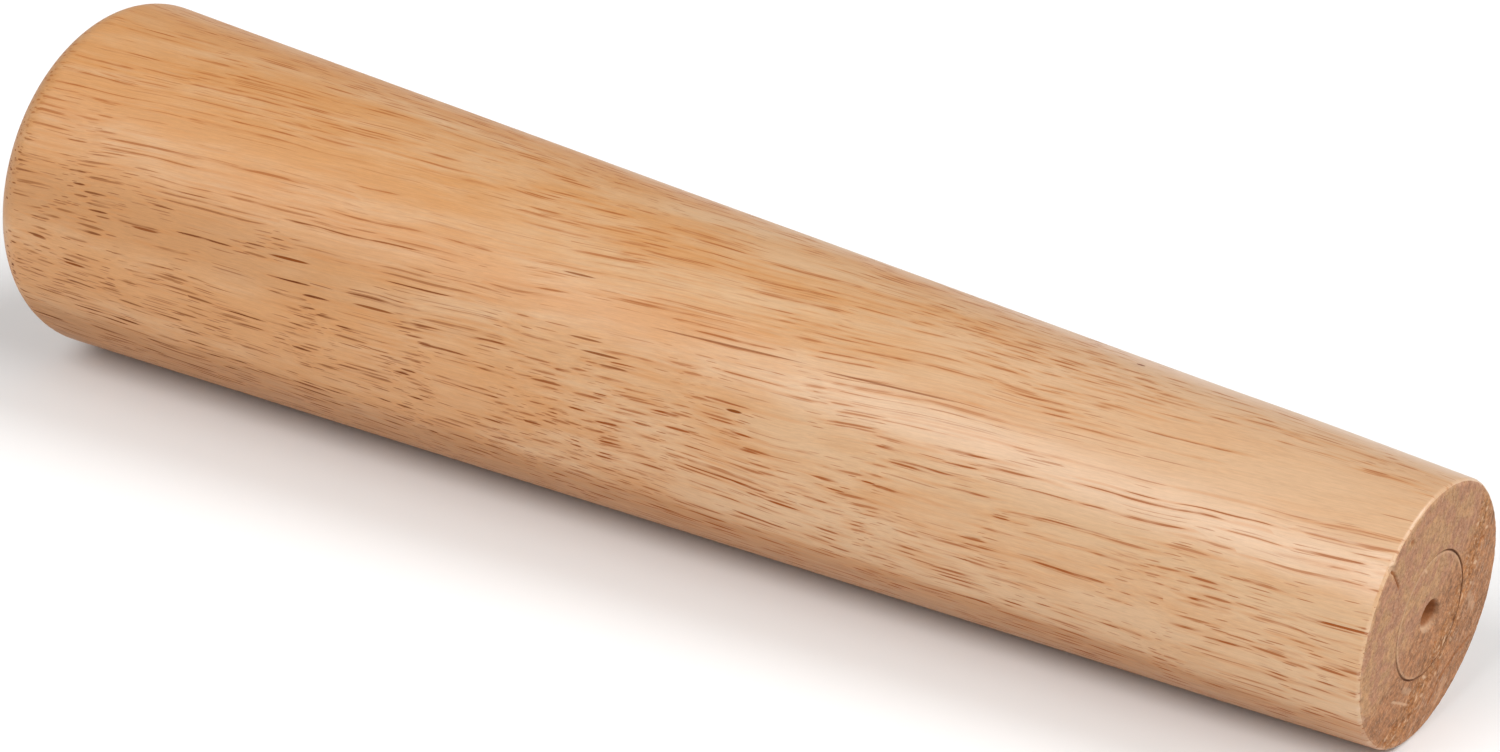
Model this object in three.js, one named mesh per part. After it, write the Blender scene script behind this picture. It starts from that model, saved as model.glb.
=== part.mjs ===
// A one-piece tapered wooden mandrel, of the kind used as a mallet to round bangles and thin sheet metal.
// It is turned from one billet, rounded over at its wide end and sawn flat at its small end, where a
// flush round plug carries the hole left by the lathe's centre.
//
// Units are millimetres and +Z is up. The taper lies on its side with its lowest line on z = 0, the
// small end towards +X, and the origin under the middle of the bounding box.

import * as THREE from 'three';

// Driving dimensions
const LENGTH = 300;
const WIDE_RADIUS = 35;
const SMALL_RADIUS = 25;
const WIDE_EDGE_ROUNDING = 7;
const SMALL_EDGE_ROUNDING = 1;
const PLUG_RADIUS = 12;
const PLUG_DEPTH = 24;
const PLUG_GAP = 0.3;
const CENTRE_LIP_RADIUS = 3.2;
const CENTRE_LIP_DEPTH = 1.1;
const CENTRE_HOLE_RADIUS = 2.2;
const CENTRE_HOLE_DEPTH = 6;
const CENTRE_HOLE_WALL_TAPER = 0.4;
const CENTRE_HOLE_CONE_HEIGHT = 1.5;

// How the round forms are faceted: the flats touch the true circle, and one flat faces straight down.
const SIDES = 32;
const WIDE_EDGE_STEPS = 7;
const SMALL_EDGE_STEPS = 3;

const TAPER_ANGLE = Math.atan((WIDE_RADIUS - SMALL_RADIUS) / LENGTH);
const SIDE_NORMAL_ANGLE = Math.PI / 2 - TAPER_ANGLE;

// Radius of the tapered side at a distance along the axis from the wide end.
function sideRadius(along) {
  return WIDE_RADIUS - along * Math.tan(TAPER_ANGLE);
}

// Profile points of a rounded edge that meets the tapered side smoothly. Angles run from the axis.
function roundedEdge(centreAlong, rounding, fromAngle, toAngle, steps) {
  const centreRadius = sideRadius(centreAlong) - rounding / Math.cos(TAPER_ANGLE);
  const points = [];
  for (let step = 0; step <= steps; step += 1) {
    const angle = THREE.MathUtils.lerp(fromAngle, toAngle, step / steps);
    const radius = centreRadius + rounding * Math.sin(angle);
    const along = centreAlong + rounding * Math.cos(angle);
    points.push(new THREE.Vector2(radius, along));
  }
  return points;
}

// A solid of revolution from a profile of (radius, distance along the axis) points.
function turned(profile) {
  const facetScale = 1 / Math.cos(Math.PI / SIDES);
  const corners = profile.map((point) => new THREE.Vector2(point.x * facetScale, point.y));
  return new THREE.LatheGeometry(corners, SIDES, Math.PI / SIDES);
}

function rawWood(colour) {
  return new THREE.MeshStandardMaterial({ color: colour, roughness: 0.85, metalness: 0 });
}

function lacqueredWood(colour) {
  return new THREE.MeshStandardMaterial({ color: colour, roughness: 0.35, metalness: 0 });
}

// The tapered billet, with a blind bore in its small end for the plug.
function makeBody() {
  const boreRadius = PLUG_RADIUS + PLUG_GAP;
  const boreFloor = LENGTH - PLUG_DEPTH - PLUG_GAP;
  const wideEdge = roundedEdge(WIDE_EDGE_ROUNDING, WIDE_EDGE_ROUNDING, Math.PI, SIDE_NORMAL_ANGLE, WIDE_EDGE_STEPS);
  const smallEdge = roundedEdge(
    LENGTH - SMALL_EDGE_ROUNDING, SMALL_EDGE_ROUNDING, SIDE_NORMAL_ANGLE, 0, SMALL_EDGE_STEPS,
  );
  const profile = [
    new THREE.Vector2(0, 0),
    ...wideEdge,
    ...smallEdge,
    new THREE.Vector2(boreRadius, LENGTH),
    new THREE.Vector2(boreRadius, boreFloor),
    new THREE.Vector2(0, boreFloor),
  ];
  const body = new THREE.Mesh(turned(profile), lacqueredWood(0xdcae7c));
  body.name = 'body';
  return body;
}

// The plug, flush with the small end, with the lathe centre's lipped hole in its middle.
function makeEndPlug() {
  const wallFoot = LENGTH - CENTRE_HOLE_DEPTH + CENTRE_HOLE_CONE_HEIGHT;
  const profile = [
    new THREE.Vector2(0, LENGTH - PLUG_DEPTH),
    new THREE.Vector2(PLUG_RADIUS, LENGTH - PLUG_DEPTH),
    new THREE.Vector2(PLUG_RADIUS, LENGTH),
    new THREE.Vector2(CENTRE_LIP_RADIUS, LENGTH),
    new THREE.Vector2(CENTRE_HOLE_RADIUS, LENGTH - CENTRE_LIP_DEPTH),
    new THREE.Vector2(CENTRE_HOLE_RADIUS - CENTRE_HOLE_WALL_TAPER, wallFoot),
    new THREE.Vector2(0, LENGTH - CENTRE_HOLE_DEPTH),
  ];
  const plug = new THREE.Mesh(turned(profile), rawWood(0xb98a66));
  plug.name = 'end_plug';
  return plug;
}

// Turned forms stand along +Y. This lays them along +X and tips the small end down by the taper's
// angle, so that the lowest flat of the side is level.
function layOnSide(pieces) {
  const turnedForms = new THREE.Group();
  turnedForms.add(...pieces);
  turnedForms.rotation.z = -Math.PI / 2;

  const tipped = new THREE.Group();
  tipped.add(turnedForms);
  tipped.rotation.y = TAPER_ANGLE;

  const box = new THREE.Box3().setFromObject(tipped, true);
  const middle = box.getCenter(new THREE.Vector3());
  tipped.position.set(-middle.x, -middle.y, -box.min.z);
  return tipped;
}

const mandrel = new THREE.Group();
mandrel.add(layOnSide([makeBody(), makeEndPlug()]));

export default mandrel;
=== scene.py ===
"""A turned, tapered wooden mandrel on a pale floor: fine meshes and wood materials for the CAD part."""

import math

import bpy
from mathutils import Matrix, Vector, noise


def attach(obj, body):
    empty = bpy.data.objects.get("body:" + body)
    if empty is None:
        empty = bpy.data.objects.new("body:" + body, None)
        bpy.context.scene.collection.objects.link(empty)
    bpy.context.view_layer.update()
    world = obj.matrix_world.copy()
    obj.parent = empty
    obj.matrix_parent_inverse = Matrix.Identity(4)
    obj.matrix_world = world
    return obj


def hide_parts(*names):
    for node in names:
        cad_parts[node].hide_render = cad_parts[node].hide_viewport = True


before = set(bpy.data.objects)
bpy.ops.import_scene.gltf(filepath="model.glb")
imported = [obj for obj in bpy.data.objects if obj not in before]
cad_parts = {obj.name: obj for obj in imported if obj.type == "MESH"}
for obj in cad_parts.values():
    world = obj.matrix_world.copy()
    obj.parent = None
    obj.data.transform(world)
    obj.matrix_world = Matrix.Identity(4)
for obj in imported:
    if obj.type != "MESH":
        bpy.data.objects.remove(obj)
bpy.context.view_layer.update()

# ---------------------------------------------------------------------------------------------
# Driving dimensions, in millimetres. Turned forms are worked out in the wood's own frame: "along"
# runs along the turned axis from the wide end, "across" is the row's +Y, and "up" points up. Angles
# round the axis run from across to up.

LENGTH = 300.0
WIDE_RADIUS = 35.0
SMALL_RADIUS = 25.0
WIDE_EDGE_ROUNDING = 7.0
SMALL_EDGE_ROUNDING = 1.0
CRISP_EDGE = 0.12

# The plug is a little oval down to the joint's floor, so that its joint gapes along one diameter.
# Below that floor it fits its bore closely.
PLUG_RADIUS = 12.03
PLUG_OVAL = 0.25
PLUG_GAPE_ANGLE = math.radians(45.0)
PLUG_FIT_RADIUS = 12.17
PLUG_DEPTH = 24.0
JOINT_DEPTH = 0.45
BORE_RADIUS = 12.2
BORE_DEPTH = 24.3

# The lathe centre's hole drifts across and up below its lip, and is wider across than up.
CENTRE_LIP_RADIUS = 3.2
CENTRE_LIP_DEPTH = 1.1
# The side of the lip where a painted highlight lies, as an angle round the axis.
CENTRE_LIP_HIGHLIGHT_ANGLE = math.radians(235.0)
CENTRE_HOLE_RADIUS = 2.2
CENTRE_HOLE_FOOT_RADIUS = 1.8
CENTRE_HOLE_WALL_DEPTH = 4.5
CENTRE_HOLE_DEPTH = 6.0
CENTRE_HOLE_DRIFT = (0.45, 0.2)
CENTRE_HOLE_OVAL = 1.3

# What the saw, the wood's own movement and use have done to the turned form. The lean is a slope
# across and up, and fades out over its reach. The rim's wear is given in degrees round the axis.
SMALL_FACE_LEAN = (-0.01, 0.03)
LEAN_REACH = 30.0
SAW_ROUGHNESS = 0.045
TORN_GRAIN_DEPTH = 0.35
SIDE_UNEVENNESS = 0.1
FLARE = 0.2
FLARE_ALONG = 270.0
FLARE_SPREAD = 18.0
RIM_WEAR = 0.6
RIM_WEAR_ANGLE = 305.0
RIM_WEAR_SPREAD = 34.0
RIM_NIBBLE = 0.14

# How finely the meshes are made. The lacquer ends part of the way round the small end's edge.
SEGMENTS = 512
SIDE_STEP = 6.0
FACE_STEP = 0.25
WIDE_FACE_RADII = (0.0, 7.0, 14.0, 21.0)
WIDE_EDGE_STEPS = 24
SMALL_EDGE_STEPS = 8
LACQUERED_EDGE_STEPS = 6
CRISP_EDGE_STEPS = 3

TAPER_ANGLE = math.atan((WIDE_RADIUS - SMALL_RADIUS) / LENGTH)
SIDE_NORMAL_ANGLE = math.pi / 2 - TAPER_ANGLE
MM = 0.001

# The wood. Its fibres lean from the turned axis by a slope across and up, and its growth rings run
# round a pith that lies outside the mandrel. The rings are set out at the small end.
GRAIN_SLOPE = (0.1, 0.032)
PITH = (-30.0, 25.0)

# The wood's layers, which follow the grain: a coarse band at one radius from the pith, a browner layer
# at one height, and a darker side that begins between two distances in its own direction.
# On the lacquered side, the darker side is partly the wood's own colour and partly painted shade along the
# lower side.
COARSE_BAND_RADIUS = 50.0
COARSE_BAND_WIDTH = 5.0
BROWNER_LAYER_HEIGHT = 18.5
DARKER_SIDE = (0.0158, 0.5, -0.866)
DARKER_FROM = 1.5
DARKER_TO = 7.0

# The two sizes of vessels: the width of the cells that hold one each, and the cells' offset.
LARGE_VESSELS = (0.95, 3.7)
SMALL_VESSELS = (0.6, 11.3)

# Colours of the lacquered side, in linear light.
HONEY = (0.56, 0.348, 0.19, 1.0)
AMBER = (0.515, 0.248, 0.088, 1.0)
# A painted highlight's tint, laid on the upper side near the small end.
PAINTED_HIGHLIGHT_TINT = (0.58, 0.37, 0.225, 1.0)
BROWNER_LAYER = (0.43, 0.2, 0.067, 1.0)
# The darker side's colour on the lacquered side: partly the wood's own, partly painted shade along the
# lower side.
DARKER_WOOD_AND_SHADE = (0.385, 0.17, 0.05, 1.0)
WIDE_END_BROWN = (0.36, 0.17, 0.065, 1.0)
WIDE_END_PALE = (0.47, 0.245, 0.11, 1.0)
SOAKED_WOOD = (0.48, 0.185, 0.04, 1.0)
SMALL_VESSEL = (0.31, 0.09, 0.013, 1.0)
LARGE_VESSEL = (0.27, 0.06, 0.005, 1.0)
STAINED_SMALL_VESSEL = (0.2, 0.05, 0.006, 1.0)
STAINED_LARGE_VESSEL = (0.13, 0.028, 0.003, 1.0)
# The small end's rim: bare worn wood and a painted highlight along the edge.
WORN_EDGE_AND_HIGHLIGHT = (0.66, 0.46, 0.31, 1.0)

# Colours of the sawn small end and of the bore, in linear light.
RAW_SAPWOOD = (0.405, 0.222, 0.108, 1.0)
RAW_BROWN_PATCH = (0.36, 0.178, 0.1, 1.0)
RAW_DARKER_WOOD = (0.325, 0.15, 0.07, 1.0)
RAW_COARSE_BAND = (0.35, 0.15, 0.05, 1.0)
RAW_CRUMB = (0.52, 0.32, 0.19, 1.0)
RAW_HOLLOW = (0.23, 0.09, 0.035, 1.0)
RAW_SCUFF = (0.5, 0.34, 0.24, 1.0)
RAW_PORE = (0.21, 0.085, 0.035, 1.0)
# Pale wear on the sawn face, and the painted highlights along the rims and on the lip.
RAW_PALE_WEAR_AND_HIGHLIGHT = (0.62, 0.4, 0.25, 1.0)
# Dark cracks and torn grain on the sawn face, and the painted shade inside the centre hole.
RAW_DARK_WEAR_AND_SHADE = (0.27, 0.082, 0.018, 1.0)
BORE_PALE = (0.34, 0.16, 0.08, 1.0)
BORE_BROWN = (0.22, 0.1, 0.045, 1.0)

# The camera, at the photograph's viewing angle.
VIEW_AZIMUTH = math.radians(34.455)
VIEW_ELEVATION = math.radians(26.164)
VIEW_DISTANCE = 1.065
VIEW_LENS = 137.24
VIEW_AIM_ALONG = 155.8
VIEW_AIM_OFFSET = Vector((0.0002, 0.0009, 0.0012))
VIEW_REACH = 20.0

# The studio. Each lamp has its azimuth, elevation and breadth in degrees, and its strength. The white
# wall fades into the dim studio up to this height, as the part of a direction that points up.
LAMPS = (
    ("front_light", -11.0, 45.0, 38.0, 1.76),
    ("end_light", 75.0, 40.0, 30.0, 0.95),
    ("back_light", 120.0, 50.0, 30.0, 1.62),
)
LAMP_DISTANCE = 1.3
WALL_TOP = 0.2
WALL_STRENGTH = 1.0
STUDIO_STRENGTH = 0.27
FLOOR_REACH = 6.0
FLOOR_COLOUR = (0.86, 0.86, 0.86, 1.0)


# ---------------------------------------------------------------------------------------------
# The wood's own frame

def side_radius(along):
    """Radius of the tapered side."""
    return WIDE_RADIUS - along * math.tan(TAPER_ANGLE)


def rounded_corner(centre_along, centre_radius, rounding, from_angle, to_angle, steps):
    """Profile points (along, radius) of an arc. Angles run from the axis, the way the small end points."""
    points = []
    for step in range(steps + 1):
        angle = from_angle + (to_angle - from_angle) * step / steps
        along = centre_along + rounding * math.cos(angle)
        radius = centre_radius + rounding * math.sin(angle)
        points.append((along, radius))
    return points


def straight(start, end, step):
    """Profile points between two others, without the two ends."""
    length = math.dist(start, end)
    count = max(1, round(length / step))
    points = []
    for index in range(1, count):
        share = index / count
        along = start[0] + (end[0] - start[0]) * share
        radius = start[1] + (end[1] - start[1]) * share
        points.append((along, radius))
    return points


def edge_centre_radius(centre_along, rounding):
    """Radius at which a rounded edge has its centre, so that it meets the tapered side smoothly."""
    return side_radius(centre_along) - rounding / math.cos(TAPER_ANGLE)


def outer_profile():
    """Profile points of the wide end's edge and of the small end's edge."""
    wide_edge = rounded_corner(
        WIDE_EDGE_ROUNDING, edge_centre_radius(WIDE_EDGE_ROUNDING, WIDE_EDGE_ROUNDING),
        WIDE_EDGE_ROUNDING, math.pi, SIDE_NORMAL_ANGLE, WIDE_EDGE_STEPS,
    )
    small_centre = LENGTH - SMALL_EDGE_ROUNDING
    small_edge = rounded_corner(
        small_centre, edge_centre_radius(small_centre, SMALL_EDGE_ROUNDING),
        SMALL_EDGE_ROUNDING, SIDE_NORMAL_ANGLE, 0.0, SMALL_EDGE_STEPS,
    )
    return wide_edge, small_edge


def wood_to_row():
    """Matrix from the wood's frame in millimetres to the row frame in metres."""
    wide_edge, small_edge = outer_profile()
    cosine, sine = math.cos(TAPER_ANGLE), math.sin(TAPER_ANGLE)
    reach = [along * cosine + radius * sine for along, radius in small_edge]
    overhang = [along * cosine - radius * sine for along, radius in wide_edge]
    middle = (max(reach) + min(overhang)) / 2
    lift = Matrix.Translation(Vector((-middle * MM, 0.0, WIDE_RADIUS * cosine * MM)))
    tip = Matrix.Rotation(TAPER_ANGLE, 4, "Y")
    return lift @ tip @ Matrix.Scale(MM, 4)


WOOD_TO_ROW = wood_to_row()


def smooth_step(value, low, high):
    """0 at low and beyond, 1 at high and beyond, with an eased ramp between them. Low may be above high."""
    share = min(1.0, max(0.0, (value - low) / (high - low)))
    return share * share * (3.0 - 2.0 * share)


# ---------------------------------------------------------------------------------------------
# Camera, lights and floor

def view_axes(azimuth, elevation):
    """(right, up, forward) of a camera that looks along +Y at azimuth 0."""
    forward = Vector((
        -math.sin(azimuth) * math.cos(elevation),
        math.cos(azimuth) * math.cos(elevation),
        -math.sin(elevation),
    ))
    right = Vector((math.cos(azimuth), math.sin(azimuth), 0.0))
    return right, right.cross(forward), forward


def place_facing(obj, aim, distance, azimuth, elevation):
    """Turns a camera or lamp towards the aim, from so far away."""
    right, up, forward = view_axes(azimuth, elevation)
    turn = Matrix((right, up, -forward)).transposed().to_4x4()
    obj.matrix_world = Matrix.Translation(aim - forward * distance) @ turn


def make_camera():
    camera = bpy.data.objects.new("camera", bpy.data.cameras.new("camera"))
    camera.data.lens = VIEW_LENS
    camera.data.clip_end = VIEW_REACH
    bpy.context.scene.collection.objects.link(camera)
    aim = WOOD_TO_ROW @ Vector((VIEW_AIM_ALONG, 0.0, 0.0)) + VIEW_AIM_OFFSET
    place_facing(camera, aim, VIEW_DISTANCE, VIEW_AZIMUTH, VIEW_ELEVATION)
    bpy.context.scene.camera = camera


def make_soft_light(name, azimuth, elevation, breadth, strength):
    """A broad, distant studio light, so that the floor is lit evenly as far as any view reaches."""
    middle = Vector((0.0, 0.0, 0.0))
    light = bpy.data.lights.new(name, "SUN")
    light.angle = math.radians(breadth)
    light.energy = strength
    lamp = bpy.data.objects.new(name, light)
    bpy.context.scene.collection.objects.link(lamp)
    place_facing(lamp, middle, LAMP_DISTANCE, math.radians(azimuth), math.radians(elevation))


def make_lights():
    for lamp in LAMPS:
        make_soft_light(*lamp)


def make_world():
    """A dim, even studio with a white wall near the horizon, behind the floor's edge."""
    world = bpy.data.worlds.new("studio")
    world.use_nodes = True
    nodes, links = world.node_tree.nodes, world.node_tree.links
    direction = nodes.new("ShaderNodeTexCoord")
    height = nodes.new("ShaderNodeSeparateXYZ")
    strength = nodes.new("ShaderNodeMapRange")
    strength.interpolation_type = "SMOOTHSTEP"
    strength.inputs["From Min"].default_value = 0.0
    strength.inputs["From Max"].default_value = WALL_TOP
    strength.inputs["To Min"].default_value = WALL_STRENGTH
    strength.inputs["To Max"].default_value = STUDIO_STRENGTH
    links.new(direction.outputs["Generated"], height.inputs[0])
    links.new(height.outputs["Z"], strength.inputs["Value"])
    links.new(strength.outputs["Result"], nodes["Background"].inputs["Strength"])
    nodes["Background"].inputs["Color"].default_value = (1.0, 1.0, 1.0, 1.0)
    bpy.context.scene.world = world


def make_floor():
    mesh = bpy.data.meshes.new("floor")
    corner_signs = ((-1, -1), (1, -1), (1, 1), (-1, 1))
    corners = [(x * FLOOR_REACH, y * FLOOR_REACH, 0.0) for x, y in corner_signs]
    mesh.from_pydata(corners, [], [(0, 1, 2, 3)])
    floor = bpy.data.objects.new("floor", mesh)
    bpy.context.scene.collection.objects.link(floor)
    material = bpy.data.materials.new("floor_paper")
    material.use_nodes = True
    shader = material.node_tree.nodes["Principled BSDF"]
    shader.inputs["Base Color"].default_value = FLOOR_COLOUR
    shader.inputs["Roughness"].default_value = 1.0
    shader.inputs["Specular IOR Level"].default_value = 0.0
    mesh.materials.append(material)


# ---------------------------------------------------------------------------------------------
# Turned meshes

LACQUERED, RAW, BORE = range(3)


def with_material(points, material):
    return [(along, radius, material) for along, radius in points]


def ring_size(radius):
    """How many vertices a profile point makes: one on the axis, or a ring round it."""
    return 1 if radius == 0.0 else SEGMENTS


def turned_faces(profile):
    """(faces, each face's material) of a turned mesh, band by band."""
    faces, materials = [], []
    start = 0
    for (_, radius, _), (_, next_radius, material) in zip(profile, profile[1:]):
        following = start + ring_size(radius)
        for segment in range(SEGMENTS):
            turn = (segment + 1) % SEGMENTS
            if radius == 0.0:
                faces.append((start, following + segment, following + turn))
            elif next_radius == 0.0:
                faces.append((start + segment, following, start + turn))
            else:
                faces.append((start + segment, following + segment, following + turn, start + turn))
            materials.append(material)
        start = following
    return faces, materials


def turned_mesh(name, profile, shape_point):
    """Revolves profile points (along, radius, material index) round the axis, where the first and the last
    of them lie. A point's material covers the band between it and the point before it. shape_point moves a
    point of the wood's frame and gives its pale wear, which includes painted highlights, and its dark wear,
    which includes painted shade."""
    vertices, wear = [], []
    for along, radius, _ in profile:
        for segment in range(ring_size(radius)):
            angle = 2 * math.pi * segment / SEGMENTS
            moved, worn = shape_point(along, radius, angle)
            vertices.append(WOOD_TO_ROW @ moved)
            wear.append(worn)

    faces, materials = turned_faces(profile)
    mesh = bpy.data.meshes.new(name)
    mesh.from_pydata(vertices, [], faces)
    mesh.polygons.foreach_set("material_index", materials)
    mesh.polygons.foreach_set("use_smooth", [True] * len(faces))
    for index, label in enumerate(("pale_wear_and_highlight", "dark_wear_and_shade")):
        layer = mesh.attributes.new(label, "FLOAT", "POINT")
        layer.data.foreach_set("value", [worn[index] for worn in wear])
    mesh.validate()
    piece = bpy.data.objects.new(name, mesh)
    bpy.context.scene.collection.objects.link(piece)
    return piece


def from_polar(along, radius, angle):
    return Vector((along, radius * math.cos(angle), radius * math.sin(angle)))


# Marks on the sawn small face: start and end (across, up), half width, depth, pale wear, dark wear.
FACE_MARKS = (
    ((-17.3, 16.9), (-16.8, 16.3), 0.75, 0.45, 1.0, 0.0),
    ((-16.6, 16.0), (-13.9, 12.0), 0.28, 0.35, 0.0, 1.0),
    ((-10.9, -12.5), (-4.3, -16.2), 0.25, 0.06, 0.8, 0.0),
    ((7.8, -8.1), (7.5, -8.9), 0.45, 0.2, 1.0, 0.0),
    ((-4.2, 11.0), (-3.2, 10.1), 0.25, 0.05, 0.8, 0.0),
    ((-10.7, 19.5), (-10.2, 19.2), 0.45, 0.3, 0.0, 0.8),
    ((18.3, -12.5), (12.3, -13.8), 0.3, 0.12, 0.0, 0.7),
    ((12.3, -13.8), (7.3, -16.3), 0.32, 0.15, 0.0, 0.85),
    ((7.3, -16.3), (3.8, -19.6), 0.28, 0.12, 0.0, 0.7),
    ((-6.9, -11.9), (-4.2, -13.6), 0.7, 0.03, 0.45, 0.0),
    ((15.5, -2.8), (17.7, -6.3), 0.9, 0.03, 0.4, 0.0),
    ((9.5, -17.5), (7.0, -21.0), 0.9, 0.03, 0.4, 0.0),
)


def mark_share(across, up, start, end, half_width):
    """1 near the line from start to end, easing to 0 a little past half_width from it."""
    run = Vector(end) - Vector(start)
    offset = Vector((across, up)) - Vector(start)
    share = min(1.0, max(0.0, offset.dot(run) / run.length_squared))
    return smooth_step((offset - run * share).length, half_width * 1.3, half_width * 0.5)


def sawn_face(across, up):
    """(sink in millimetres, pale wear, dark wear, torn grain) of the rough small face at a place on it."""
    here = Vector((across, up, 0.0))
    sink = SAW_ROUGHNESS * (1.0 + noise.fractal(here * 0.8, 0.6, 2.1, 4))
    from_pith = math.dist((across, up), PITH)
    from_band = abs(from_pith - COARSE_BAND_RADIUS + 2.0 * noise.noise(here * 0.2))
    torn = smooth_step(from_band, COARSE_BAND_WIDTH, 1.5)
    along_ring = COARSE_BAND_RADIUS * math.atan2(up - PITH[1], across - PITH[0])
    crumb = noise.fractal(Vector((from_pith * 1.1, along_ring * 0.6, 7.3)), 0.7, 2.0, 3)
    sink += TORN_GRAIN_DEPTH * torn * smooth_step(crumb, 0.0, 0.8)
    pale = torn * smooth_step(noise.noise(Vector((from_pith * 1.3, along_ring * 0.8, 3.1))), 0.25, 0.6)
    dark = 0.8 * torn * smooth_step(crumb, 0.25, 0.8)
    for start, end, half_width, depth, mark_pale, mark_dark in FACE_MARKS:
        share = mark_share(across, up, start, end, half_width)
        sink += depth * share
        pale = max(pale * (1.0 - share), mark_pale * share)
        dark = max(dark * (1.0 - share), mark_dark * share)
    return sink, pale, dark, torn


def on_small_face(along):
    """1 on the sawn small face, easing to 0 a millimetre behind it."""
    return smooth_step(along, LENGTH - 1.0, LENGTH - 0.05)


def lean_of_face(along, across, up):
    """The small end was not sawn quite square: how far a point near it moves along the axis."""
    near_face = smooth_step(along, LENGTH - LEAN_REACH, LENGTH)
    return near_face * (SMALL_FACE_LEAN[0] * across + SMALL_FACE_LEAN[1] * up)


def worn_body(along, radius, angle):
    """The turned body: slightly uneven along its side, sawn rough at its small end, with a worn rim that is
    paler along its edge, partly bare wood and partly a painted highlight.
    """
    point = from_polar(along, radius, angle)
    lean = lean_of_face(along, point.y, point.z)
    in_bore = radius < BORE_RADIUS + CRISP_EDGE
    on_wide_face = along < 1.0
    if in_bore or on_wide_face:
        return from_polar(along + lean, radius, angle), (0.0, 0.0)

    above_floor = smooth_step(math.sin(angle), -1.0, -0.5)
    on_side = smooth_step(radius, SMALL_RADIUS - 3.0, SMALL_RADIUS - 1.0)
    flare = FLARE * math.exp(-((along - FLARE_ALONG) / FLARE_SPREAD) ** 2)
    swell = noise.noise(Vector((along * 0.02, math.cos(angle) * 1.2, math.sin(angle) * 1.2)))
    grow = above_floor * on_side * (flare + SIDE_UNEVENNESS * swell)

    near_rim = smooth_step(along, LENGTH - 2.6, LENGTH - 0.2)
    near_rim *= smooth_step(radius, SMALL_RADIUS - 3.5, SMALL_RADIUS - 0.8)
    rubbed = math.exp(-((math.degrees(angle) - RIM_WEAR_ANGLE) / RIM_WEAR_SPREAD) ** 2)
    nibble = max(0.0, noise.noise(Vector((math.cos(angle), math.sin(angle), 0.3)) * 14.0))
    grow -= near_rim * (RIM_WEAR * rubbed + RIM_NIBBLE * nibble)

    on_face = on_small_face(along)
    sink, pale, dark, _ = sawn_face(point.y, point.z)
    # The rim is paler along its edge: bare wood where it is nibbled, and a painted highlight all round.
    on_rim = smooth_step(radius, SMALL_RADIUS - 1.1, SMALL_RADIUS - 0.6)
    on_rim *= smooth_step(along, LENGTH - 1.1, LENGTH - 0.5)
    rim_pale_and_highlight = on_rim * (0.12 + 0.9 * nibble)
    moved = from_polar(along + lean - on_face * sink, radius + grow, angle)
    return moved, (max(on_face * pale, rim_pale_and_highlight), on_face * dark)


def shift_of_hole(along, radius, across):
    """How far a point of the lathe centre's hole moves across and up."""
    if along < LENGTH - CENTRE_HOLE_DEPTH:
        return 0.0, 0.0
    drift = smooth_step(radius, CENTRE_LIP_RADIUS, CENTRE_HOLE_RADIUS)
    widening = smooth_step(radius, CENTRE_LIP_RADIUS + 0.6, CENTRE_HOLE_RADIUS) * (CENTRE_HOLE_OVAL - 1.0)
    return drift * CENTRE_HOLE_DRIFT[0] + widening * across, drift * CENTRE_HOLE_DRIFT[1]


def worn_plug(along, radius, angle):
    """The end plug: sawn with the face, oval down to its joint's floor, with a painted highlight along its
    rim, a lip that is a little pale all round with a painted highlight on one side, and painted shade
    inside its hole.
    """
    gape = PLUG_OVAL * math.cos(angle - PLUG_GAPE_ANGLE) ** 2 if radius <= PLUG_RADIUS else 0.0
    point = from_polar(along, radius * (1.0 - gape / PLUG_RADIUS), angle)
    on_face = on_small_face(along)
    sink, pale, dark, torn = sawn_face(point.y, point.z)

    on_lip = smooth_step(radius, CENTRE_LIP_RADIUS + 0.4, CENTRE_LIP_RADIUS - 0.4)
    on_lip *= smooth_step(along, LENGTH - 1.5, LENGTH - 0.6)
    # The lip is a little pale all round, with a painted highlight on one side.
    lip_pale_and_highlight = on_lip * (0.25 + 0.75 * max(0.0, math.cos(angle - CENTRE_LIP_HIGHLIGHT_ANGLE)))
    # A painted highlight along the plug's rim.
    on_rim = on_face * smooth_step(radius, PLUG_RADIUS - 0.7, PLUG_RADIUS - 0.3)
    rim_pale_and_highlight = 0.4 * on_rim * (1.0 - torn)
    # Painted shade inside the lathe centre's hole.
    painted_hole_shade = smooth_step(LENGTH - along, 0.5, 1.3)
    painted_hole_shade *= smooth_step(radius, CENTRE_HOLE_RADIUS + 0.5, CENTRE_HOLE_RADIUS + 0.2)

    lean = lean_of_face(along, point.y, point.z)
    moved = point + Vector((lean - on_face * sink, *shift_of_hole(along, radius, point.y)))
    return moved, (max(on_face * pale, lip_pale_and_highlight, rim_pale_and_highlight), max(on_face * dark, painted_hole_shade))


def make_body():
    wide_edge, small_edge = outer_profile()
    face_rim = small_edge[-1]
    mouth_centre = (LENGTH - CRISP_EDGE, BORE_RADIUS + CRISP_EDGE)
    mouth = rounded_corner(*mouth_centre, CRISP_EDGE, 0.0, -math.pi / 2, CRISP_EDGE_STEPS)
    bore_floor = LENGTH - BORE_DEPTH
    wide_face = [(0.0, radius) for radius in WIDE_FACE_RADII]
    profile = (
        with_material(wide_face, LACQUERED)
        + with_material(wide_edge, LACQUERED)
        + with_material(straight(wide_edge[-1], small_edge[0], SIDE_STEP), LACQUERED)
        + with_material(small_edge[:LACQUERED_EDGE_STEPS], LACQUERED)
        + with_material(small_edge[LACQUERED_EDGE_STEPS:], RAW)
        + with_material(straight(face_rim, mouth[0], FACE_STEP), RAW)
        + with_material(mouth, RAW)
        + with_material([(bore_floor, BORE_RADIUS), (bore_floor, 0.0)], BORE)
    )
    return turned_mesh("turned_body", profile, worn_body)


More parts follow.
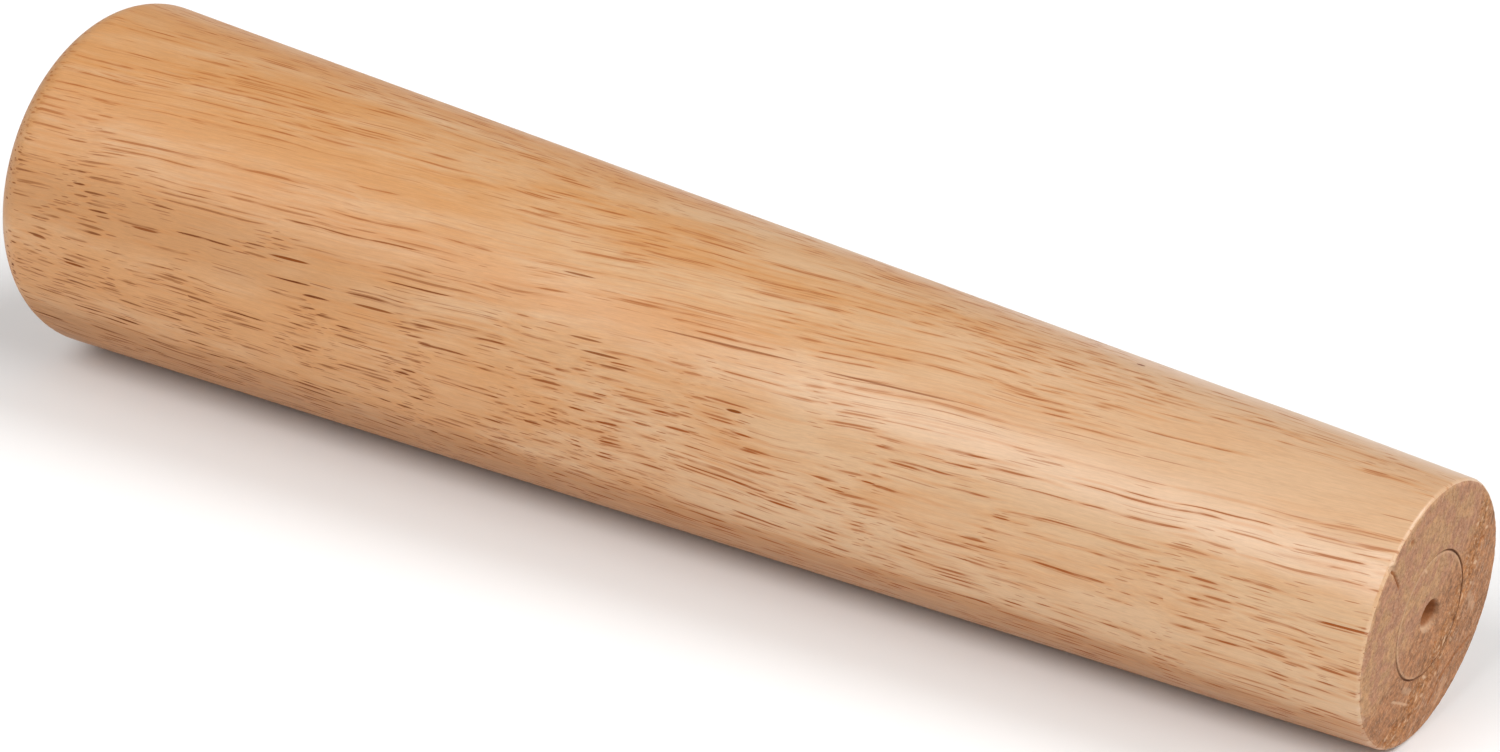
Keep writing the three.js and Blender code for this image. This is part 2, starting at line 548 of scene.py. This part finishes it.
def make_plug():
    plug_foot = LENGTH - PLUG_DEPTH
    joint_floor = LENGTH - JOINT_DEPTH
    fitted = [
        (plug_foot, 0.0),
        (plug_foot, PLUG_FIT_RADIUS),
        (joint_floor, PLUG_FIT_RADIUS),
        (joint_floor, PLUG_RADIUS),
    ]
    rim_centre = (LENGTH - CRISP_EDGE, PLUG_RADIUS - CRISP_EDGE)
    rim = rounded_corner(*rim_centre, CRISP_EDGE, math.pi / 2, 0.0, CRISP_EDGE_STEPS)
    lip = (LENGTH, CENTRE_LIP_RADIUS)
    hole = [
        lip,
        (LENGTH - CENTRE_LIP_DEPTH * 0.5, (CENTRE_LIP_RADIUS + CENTRE_HOLE_RADIUS) / 2),
        (LENGTH - CENTRE_LIP_DEPTH, CENTRE_HOLE_RADIUS),
        (LENGTH - CENTRE_HOLE_WALL_DEPTH, CENTRE_HOLE_FOOT_RADIUS),
        (LENGTH - CENTRE_HOLE_DEPTH, 0.0),
    ]
    profile = (
        with_material(fitted, BORE)
        + with_material(rim, RAW)
        + with_material(straight(rim[-1], lip, FACE_STEP), RAW)
        + with_material(hole, RAW)
    )
    return turned_mesh("turned_end_plug", profile, worn_plug)


# ---------------------------------------------------------------------------------------------
# Wood materials. The pattern is solid: it is worked out inside the wood, so that a vessel that shows
# as a long dash on the side shows as a dot on the end grain.

class Graph:
    """A material's nodes, with short calls for the ones used here. Numbers and sockets feed sockets."""

    def __init__(self, name):
        self.material = bpy.data.materials.new(name)
        self.material.use_nodes = True
        self.tree = self.material.node_tree
        self.shader = self.tree.nodes["Principled BSDF"]

    def feed(self, socket, value):
        if isinstance(value, bpy.types.NodeSocket):
            self.tree.links.new(value, socket)
        else:
            socket.default_value = value

    def node(self, kind, values=(), **settings):
        node = self.tree.nodes.new("ShaderNode" + kind)
        for setting, value in settings.items():
            setattr(node, setting, value)
        for socket, value in dict(values).items():
            self.feed(node.inputs[socket], value)
        return node

    def math(self, operation, *values):
        return self.node("Math", dict(enumerate(values)), operation=operation).outputs[0]

    def add(self, first, second):
        return self.math("ADD", first, second)

    def times(self, first, second):
        return self.math("MULTIPLY", first, second)

    def vector(self, operation, *values):
        return self.node("VectorMath", dict(enumerate(values)), operation=operation).outputs[0]

    def split(self, vector):
        return self.node("SeparateXYZ", {0: vector}).outputs

    def join(self, *parts):
        return self.node("CombineXYZ", dict(enumerate(parts))).outputs[0]

    def ease(self, value, low, high, to_low=0.0, to_high=1.0):
        """Smooth step from to_low to to_high, as value goes from low to high."""
        values = {"Value": value, "From Min": low, "From Max": high, "To Min": to_low, "To Max": to_high}
        return self.node("MapRange", values, interpolation_type="SMOOTHSTEP").outputs["Result"]

    def blend(self, share, first, second):
        """Mix of two colours."""
        return self.node("Mix", {0: share, 6: first, 7: second}, data_type="RGBA").outputs[2]

    def shade(self, colour, factor):
        """The colour times a number."""
        return self.node("VectorMath", {0: colour, "Scale": factor}, operation="SCALE").outputs[0]

    def noise(self, vector, detail=2.0, roughness=0.5):
        """Noise values from 0 to 1, with features about one unit across."""
        values = {"Vector": vector, "Detail": detail, "Roughness": roughness, "Scale": 1.0}
        return self.node("TexNoise", values).outputs[0]

    def sway(self, place, along, across, amount):
        """A slow random shift across the grain, in millimetres."""
        values = {"Vector": self.stretch(place, along, across), "Detail": 1.0, "Scale": 1.0}
        colour = self.node("TexNoise", values).outputs["Color"]
        return self.vector("MULTIPLY_ADD", colour, (0.0, amount, amount), (0.0, -amount / 2, -amount / 2))

    def stretch(self, vector, along, across):
        """The vector in units of a pattern's size along the grain and across it, in millimetres."""
        return self.vector("MULTIPLY", vector, (1.0 / along, 1.0 / across, 1.0 / across))

    def attribute(self, name):
        return self.node("Attribute", attribute_name=name).outputs["Fac"]

    def bump(self, height):
        """Feeds the shader's normal from a height in millimetres."""
        bump = self.node("Bump", {"Height": height, "Strength": 1.0, "Distance": MM})
        self.feed(self.shader.inputs["Normal"], bump.outputs[0])


def wood_place(graph):
    """Place in the wood's frame, in millimetres, of the point being shaded."""
    row_place = graph.node("TexCoord").outputs["Object"]
    values = {
        "Vector": row_place,
        "Location": WOOD_TO_ROW.inverted().translation,
        "Rotation": (0.0, -TAPER_ANGLE, 0.0),
        "Scale": (1.0 / MM,) * 3,
    }
    return graph.node("Mapping", values).outputs[0]


def grain_place(graph, place):
    """Place in the grain's frame, whose first part runs with the fibres: without the fibres' wander, to
    set single marks out in, and with it."""
    from_small_end = graph.math("SUBTRACT", LENGTH, graph.split(place)[0])
    lean = graph.join(0.0, *(graph.times(from_small_end, slope) for slope in GRAIN_SLOPE))
    straightened = graph.vector("ADD", place, lean)
    slow = graph.sway(place, 90.0, 45.0, 4.2)
    quick = graph.sway(place, 20.0, 12.0, 1.5)
    return straightened, graph.vector("ADD", straightened, graph.vector("ADD", slow, quick))


def vessels(graph, grain, crowding, kind, radii, share):
    """(vessel, soaked wood round it), each from 0 to 1. Cells across the grain hold a vessel each, and
    share is about the part of them that is open. They come in patches, more of them where crowding is
    high, and fade in and out."""
    cell, offset = kind
    _, across, up = graph.split(grain)
    section = graph.join(across, up)
    placed = graph.vector("MULTIPLY_ADD", section, (1.0 / cell, 1.0 / cell, 0.0), (offset, -offset, 0.0))
    cells = graph.node("TexVoronoi", {"Vector": placed, "Scale": 1.0}, voronoi_dimensions="2D")
    size, presence, strength = graph.node("SeparateColor", {0: cells.outputs["Color"]}).outputs
    distance = graph.times(cells.outputs["Distance"], cell)
    radius = graph.math("MULTIPLY_ADD", size, radii[1] - radii[0], radii[0])
    reach = graph.math("DIVIDE", distance, radius)
    core = graph.ease(reach, 1.1, 0.7)
    halo = graph.ease(reach, 3.0, 0.9)
    patch = graph.noise(graph.stretch(grain, 60.0, 9.0), detail=1.0)
    chance = graph.add(patch, graph.math("MULTIPLY_ADD", presence, 0.4, -0.2))
    chance = graph.add(chance, graph.times(crowding, 0.12))
    open_share = graph.ease(chance, 1.0 - share - 0.02, 1.0 - share + 0.03)
    broken = graph.noise(graph.stretch(grain, 7.0, 1.0), detail=1.0)
    depth = graph.times(open_share, graph.ease(broken, 0.3, 0.55, 0.25, 1.0))
    weight = graph.times(depth, graph.math("MULTIPLY_ADD", graph.math("POWER", strength, 1.5), 0.5, 0.5))
    return graph.times(core, weight), graph.times(halo, depth)


# Single vessels that stand out on the side: distance along, angle up from the side that faces -Y in
# degrees, half length and half width in millimetres, and strength. All reach as far into the wood.
SIDE_DASHES = (
    (71.5, 22.0, 5.0, 0.28, 1.0),
    (92.0, 15.0, 5.0, 0.26, 0.9),
    (38.0, 16.0, 3.4, 0.26, 0.9),
    (21.5, -4.0, 2.8, 0.27, 1.0),
    (13.0, 2.0, 1.8, 0.24, 0.8),
    (75.5, -25.0, 4.4, 0.28, 1.0),
    (138.0, 28.5, 3.8, 0.22, 0.8),
    (142.0, 25.0, 4.6, 0.24, 0.9),
    (145.0, 22.0, 3.4, 0.22, 0.8),
    (171.5, 21.0, 1.8, 0.3, 1.0),
    (131.5, 49.0, 3.6, 0.22, 0.8),
    (166.0, 42.5, 17.0, 0.2, 0.7),
    (199.0, 47.5, 15.0, 0.2, 0.7),
    (236.0, 103.0, 0.9, 0.45, 1.0),
)
SIDE_DASH_REACH_INWARD = 3.0


def side_dashes(graph, straightened):
    """The single vessels, from 0 to 1."""
    strongest = 0.0
    for along, angle, half_length, half_width, strength in SIDE_DASHES:
        radius, turn = side_radius(along), math.radians(angle)
        centre = [along, -radius * math.cos(turn), radius * math.sin(turn)]
        for axis, slope in enumerate(GRAIN_SLOPE, start=1):
            centre[axis] += (LENGTH - along) * slope
        values = {
            "Vector": straightened,
            "Location": centre,
            "Rotation": (math.pi / 2 - turn, 0.0, 0.0),
            "Scale": (half_length, half_width, SIDE_DASH_REACH_INWARD),
        }
        offset = graph.node("Mapping", values, vector_type="TEXTURE").outputs[0]
        reach = graph.node("VectorMath", {0: offset}, operation="LENGTH").outputs["Value"]
        strongest = graph.math("MAXIMUM", strongest, graph.ease(reach, 1.1, 0.7, 0.0, strength))
    return strongest


def ring_radius(graph, grain):
    """Distance from the pith, in millimetres."""
    from_pith = graph.vector("MULTIPLY", graph.vector("SUBTRACT", grain, (0.0, *PITH)), (0.0, 1.0, 1.0))
    return graph.node("VectorMath", {0: from_pith}, operation="LENGTH").outputs["Value"]


def darker_side(graph, grain, unevenness):
    """How far the wood here belongs to the mandrel's darker side. Unevenness is a noise value. On the
    lacquered side this also carries painted shade along the lower side.
    """
    value = graph.node("VectorMath", {0: grain, 1: DARKER_SIDE}, operation="DOT_PRODUCT").outputs["Value"]
    shifted = graph.add(value, graph.math("MULTIPLY_ADD", unevenness, 5.0, -2.5))
    return graph.ease(shifted, DARKER_FROM, DARKER_TO)


def ring_arcs(graph, grain, rings, across, along_ring, roughness=0.6):
    """Noise in arcs that follow the growth rings, each so many millimetres across and along the ring."""
    _, grain_across, grain_up = graph.split(graph.vector("SUBTRACT", grain, (0.0, *PITH)))
    turn = graph.math("ARCTAN2", grain_up, grain_across)
    run = graph.times(turn, COARSE_BAND_RADIUS / along_ring)
    return graph.noise(graph.join(graph.times(rings, 1.0 / across), run), detail=3.0, roughness=roughness)


def band_share(graph, rings):
    """How far the wood here belongs to the band of coarse wood."""
    return graph.ease(
        graph.math("ABSOLUTE", graph.math("SUBTRACT", rings, COARSE_BAND_RADIUS)), COARSE_BAND_WIDTH, 0.6,
    )


class SideWood:
    """What the side's material starts from, as sockets: places in the wood, and the wood's layers."""

    def __init__(self, graph):
        self.place = wood_place(graph)
        self.along, _, self.up = graph.split(self.place)
        self.straightened, self.grain = grain_place(graph, self.place)
        self.height = graph.split(self.grain)[2]
        self.rings = ring_radius(graph, self.grain)
        self.cloud = graph.noise(graph.stretch(self.grain, 45.0, 7.0), detail=3.0)
        # The darker side: partly darker wood, partly painted shade along the lower side.
        self.darker_side_share = darker_side(graph, self.grain, self.cloud)
        # Where a painted highlight lightens the upper side near the small end.
        near_small_end = graph.ease(self.along, 170.0, 240.0)
        self.painted_highlight = graph.times(near_small_end, graph.ease(self.height, 9.0, 22.0))
        off_middle = graph.math("ABSOLUTE", graph.math("SUBTRACT", self.height, BROWNER_LAYER_HEIGHT))
        self.browner = graph.times(graph.ease(self.along, 120.0, 50.0), graph.ease(off_middle, 9.0, 2.0))
        self.fibre = graph.noise(graph.stretch(self.grain, 9.0, 0.28), detail=2.0, roughness=0.6)


def side_vessels(graph, wood):
    """(large vessels, soaked wood round them, small vessels) of the side. They crowd low down and in the
    darker side, thin out under the painted highlight, and are fainter towards the top."""
    low = graph.ease(wood.height, 12.0, 2.0)
    crowding = graph.math("MULTIPLY_ADD", wood.painted_highlight, -0.6, wood.darker_side_share)
    crowding = graph.math("MULTIPLY_ADD", low, 0.45, crowding)
    large, soaked = vessels(graph, wood.grain, crowding, LARGE_VESSELS, (0.13, 0.28), 0.56)
    small, _ = vessels(graph, wood.grain, crowding, SMALL_VESSELS, (0.08, 0.15), 0.55)
    strength = graph.ease(wood.up, 26.0, 8.0, 0.72, 1.0)
    return graph.times(large, strength), soaked, graph.times(small, strength)


def side_layers(graph, wood):
    """Colour of the wood between the vessels: honey to amber in streaks and rings, and its layers. It grows
    paler towards the small end, partly in the wood's own tone and partly as painted light; a painted
    highlight lightens the upper side near the small end, and the darker side is partly painted shade along
    the lower side.
    """
    streak = graph.noise(graph.stretch(wood.grain, 45.0, 0.9), detail=3.0)
    ring_tone = graph.noise(graph.join(graph.times(wood.rings, 0.35)), detail=3.0, roughness=0.6)
    mottle = graph.noise(graph.stretch(wood.grain, 7.0, 2.5), detail=3.0)
    # Paler towards the small end: partly the wood's own tone, partly painted light.
    tone = graph.ease(wood.along, 280.0, 20.0, -0.08, 0.11)
    for part, weight in ((wood.cloud, 0.57), (streak, 0.14), (ring_tone, 0.16), (mottle, 0.13)):
        tone = graph.math("MULTIPLY_ADD", part, weight, tone)
    colour = graph.blend(graph.ease(tone, 0.36, 0.65), HONEY, AMBER)
    # A painted highlight: a paler, pinker tint on the upper side near the small end.
    colour = graph.blend(graph.times(wood.painted_highlight, 0.5), colour, PAINTED_HIGHLIGHT_TINT)
    colour = graph.blend(graph.times(wood.browner, 0.7), colour, BROWNER_LAYER)
    # The darker side, in streaks: partly the wood's own colour, partly painted shade along the lower side.
    darker_wood_and_shade_share = graph.times(wood.darker_side_share, graph.ease(streak, 0.35, 0.65, 0.7, 1.0))
    return graph.blend(darker_wood_and_shade_share, colour, DARKER_WOOD_AND_SHADE)


def with_fibres(graph, wood, colour):
    """The colour in fine streaks along the fibres."""
    fleck = graph.noise(graph.stretch(wood.grain, 1.6, 0.22), detail=1.0)
    fine = graph.ease(wood.fibre, 0.25, 0.75, 0.44, 0.56)
    finest = graph.ease(fleck, 0.25, 0.75, 0.465, 0.535)
    return graph.shade(colour, graph.add(fine, finest))


def with_wide_end(graph, wood, colour):
    """The colour turning into smooth end grain on the wide end's face."""
    arcs = ring_arcs(graph, wood.grain, wood.rings, 1.1, 9.0)
    end_colour = graph.blend(graph.ease(arcs, 0.3, 0.7), WIDE_END_BROWN, WIDE_END_PALE)
    on_wide_face = graph.ease(wood.along, 6.0, 0.3)
    return graph.blend(graph.times(on_wide_face, 0.75), colour, end_colour)


def with_vessels(graph, wood, colour, large, soaked, small, dashes):
    """The colour with its vessels, which are stained deeper towards the wide end, except along the top."""
    stained = graph.times(graph.ease(wood.along, 180.0, 70.0), graph.ease(wood.up, 26.0, 14.0))
    small_colour = graph.blend(stained, SMALL_VESSEL, STAINED_SMALL_VESSEL)
    large_colour = graph.blend(stained, LARGE_VESSEL, STAINED_LARGE_VESSEL)
    colour = graph.blend(graph.times(soaked, 0.45), colour, SOAKED_WOOD)
    colour = graph.blend(graph.times(small, 0.85), colour, small_colour)
    colour = graph.blend(large, colour, large_colour)
    return graph.blend(dashes, colour, STAINED_SMALL_VESSEL)


def satin_coat(graph, wood, large, small, dashes):
    """A satin lacquer, shinier towards the small end, that is broken where a vessel is open."""
    gloss = graph.noise(graph.stretch(wood.place, 25.0, 12.0), detail=3.0)
    polish = graph.ease(wood.along, 20.0, 260.0, 0.09, -0.06)
    unpolished = graph.add(graph.times(large, 0.2), polish)
    roughness = graph.add(graph.ease(gloss, 0.3, 0.7, 0.38, 0.46), unpolished)
    graph.feed(graph.shader.inputs["Roughness"], roughness)
    broken = graph.math("MAXIMUM", dashes, graph.math("MAXIMUM", large, graph.times(small, 0.6)))
    graph.feed(graph.shader.inputs["Specular IOR Level"], graph.math("MULTIPLY_ADD", broken, -0.5, 0.65))
    open_vessels = graph.add(large, graph.times(small, 0.4))
    graph.bump(graph.add(graph.times(wood.fibre, 0.012), graph.times(open_vessels, -0.035)))


def lacquered_wood():
    graph = Graph("lacquered_rubberwood")
    wood = SideWood(graph)
    large, soaked, small = side_vessels(graph, wood)
    dashes = side_dashes(graph, wood.straightened)
    colour = with_fibres(graph, wood, side_layers(graph, wood))
    colour = with_wide_end(graph, wood, colour)
    colour = with_vessels(graph, wood, colour, large, soaked, small, dashes)
    # Pale along the small end's rim: worn bare wood and a painted highlight.
    colour = graph.blend(graph.times(graph.attribute("pale_wear_and_highlight"), 0.7), colour, WORN_EDGE_AND_HIGHLIGHT)
    graph.feed(graph.shader.inputs["Base Color"], colour)
    satin_coat(graph, wood, large, small, dashes)
    return graph.material


def end_layers(graph, patch, darker_side_share, band):
    """Colour of the sawn end grain before its texture."""
    sapwood = graph.blend(graph.ease(patch, 0.42, 0.58), RAW_SAPWOOD, RAW_BROWN_PATCH)
    colour = graph.blend(darker_side_share, sapwood, RAW_DARKER_WOOD)
    return graph.blend(graph.times(band, 0.6), colour, RAW_COARSE_BAND)


def with_saw_marks(graph, grain, rings, colour, mottle, crumbs, darker_side_share, band):
    """The colour with mottle, arcs along the rings, pale crumbs, dark hollows and pale scuffs."""
    arcs = ring_arcs(graph, grain, rings, 0.9, 5.0)
    unevenness = graph.ease(graph.math("MAXIMUM", darker_side_share, band), 0.0, 1.0, 0.65, 1.1)
    shading = graph.add(graph.ease(mottle, 0.3, 0.7, -0.34, 0.34), graph.ease(arcs, 0.3, 0.7, -0.18, 0.18))
    colour = graph.shade(colour, graph.math("MULTIPLY_ADD", shading, unevenness, 1.0))
    pale_crumbs = graph.times(graph.ease(crumbs, 0.55, 0.72), graph.ease(band, 0.0, 1.0, 0.45, 0.7))
    colour = graph.blend(pale_crumbs, colour, RAW_CRUMB)
    hollows = graph.times(graph.ease(crumbs, 0.45, 0.3), graph.ease(band, 0.0, 1.0, 0.4, 0.85))
    colour = graph.blend(hollows, colour, RAW_HOLLOW)
    scuffs = ring_arcs(graph, grain, rings, 0.5, 3.5, roughness=0.7)
    scuffed = graph.times(graph.ease(scuffs, 0.52, 0.7), graph.ease(rings, 46.0, 56.0, 0.2, 0.7))
    return graph.blend(scuffed, colour, RAW_SCUFF)


def raw_end_grain():
    graph = Graph("raw_end_grain")
    place = wood_place(graph)
    _, grain = grain_place(graph, place)
    rings = ring_radius(graph, grain)
    band = band_share(graph, rings)
    patch = graph.noise(graph.stretch(place, 4.0, 4.0), detail=3.0)
    mottle = graph.noise(graph.stretch(place, 1.3, 1.3), detail=4.0, roughness=0.75)
    crumbs = graph.noise(graph.stretch(place, 0.5, 0.5), detail=2.0)
    darker_side_share = darker_side(graph, grain, patch)
    large, _ = vessels(graph, grain, darker_side_share, LARGE_VESSELS, (0.11, 0.25), 0.55)
    small, _ = vessels(graph, grain, darker_side_share, SMALL_VESSELS, (0.05, 0.11), 0.55)

    colour = end_layers(graph, patch, darker_side_share, band)
    colour = with_saw_marks(graph, grain, rings, colour, mottle, crumbs, darker_side_share, band)
    pores = graph.times(graph.add(large, graph.times(small, 0.5)), 0.6)
    colour = graph.blend(pores, colour, RAW_PORE)
    # Pale wear on the face, and painted highlights along the rims and on the lip.
    colour = graph.blend(graph.times(graph.attribute("pale_wear_and_highlight"), 0.75), colour, RAW_PALE_WEAR_AND_HIGHLIGHT)
    # Dark marks on the face, and painted shade inside the centre hole.
    colour = graph.blend(graph.times(graph.attribute("dark_wear_and_shade"), 0.85), colour, RAW_DARK_WEAR_AND_SHADE)
    graph.feed(graph.shader.inputs["Base Color"], colour)

    graph.feed(graph.shader.inputs["Roughness"], graph.ease(mottle, 0.3, 0.7, 0.78, 0.95))
    graph.shader.inputs["Specular IOR Level"].default_value = 0.3
    height = graph.add(graph.times(mottle, 0.12), graph.times(crumbs, 0.1))
    graph.bump(graph.add(height, graph.times(large, -0.06)))
    return graph.material


def bore_wood():
    graph = Graph("bore_wood")
    _, grain = grain_place(graph, wood_place(graph))
    fibre = graph.noise(graph.stretch(grain, 6.0, 0.5), detail=3.0, roughness=0.6)
    colour = graph.blend(graph.ease(fibre, 0.3, 0.7), BORE_PALE, BORE_BROWN)
    graph.feed(graph.shader.inputs["Base Color"], colour)
    graph.feed(graph.shader.inputs["Roughness"], graph.ease(fibre, 0.3, 0.7, 0.8, 0.95))
    graph.bump(graph.times(fibre, 0.05))
    return graph.material


make_camera()
make_lights()
make_world()
make_floor()

materials = [lacquered_wood(), raw_end_grain(), bore_wood()]
body, plug = make_body(), make_plug()
for piece, node, slot in ((body, "body", "lacquered_wood"), (plug, "end_plug", "raw_end_grain")):
    for material in materials:
        piece.data.materials.append(material)
    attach(piece, "root")
    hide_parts(node)

bpy.context.scene.view_settings.view_transform = "Standard"
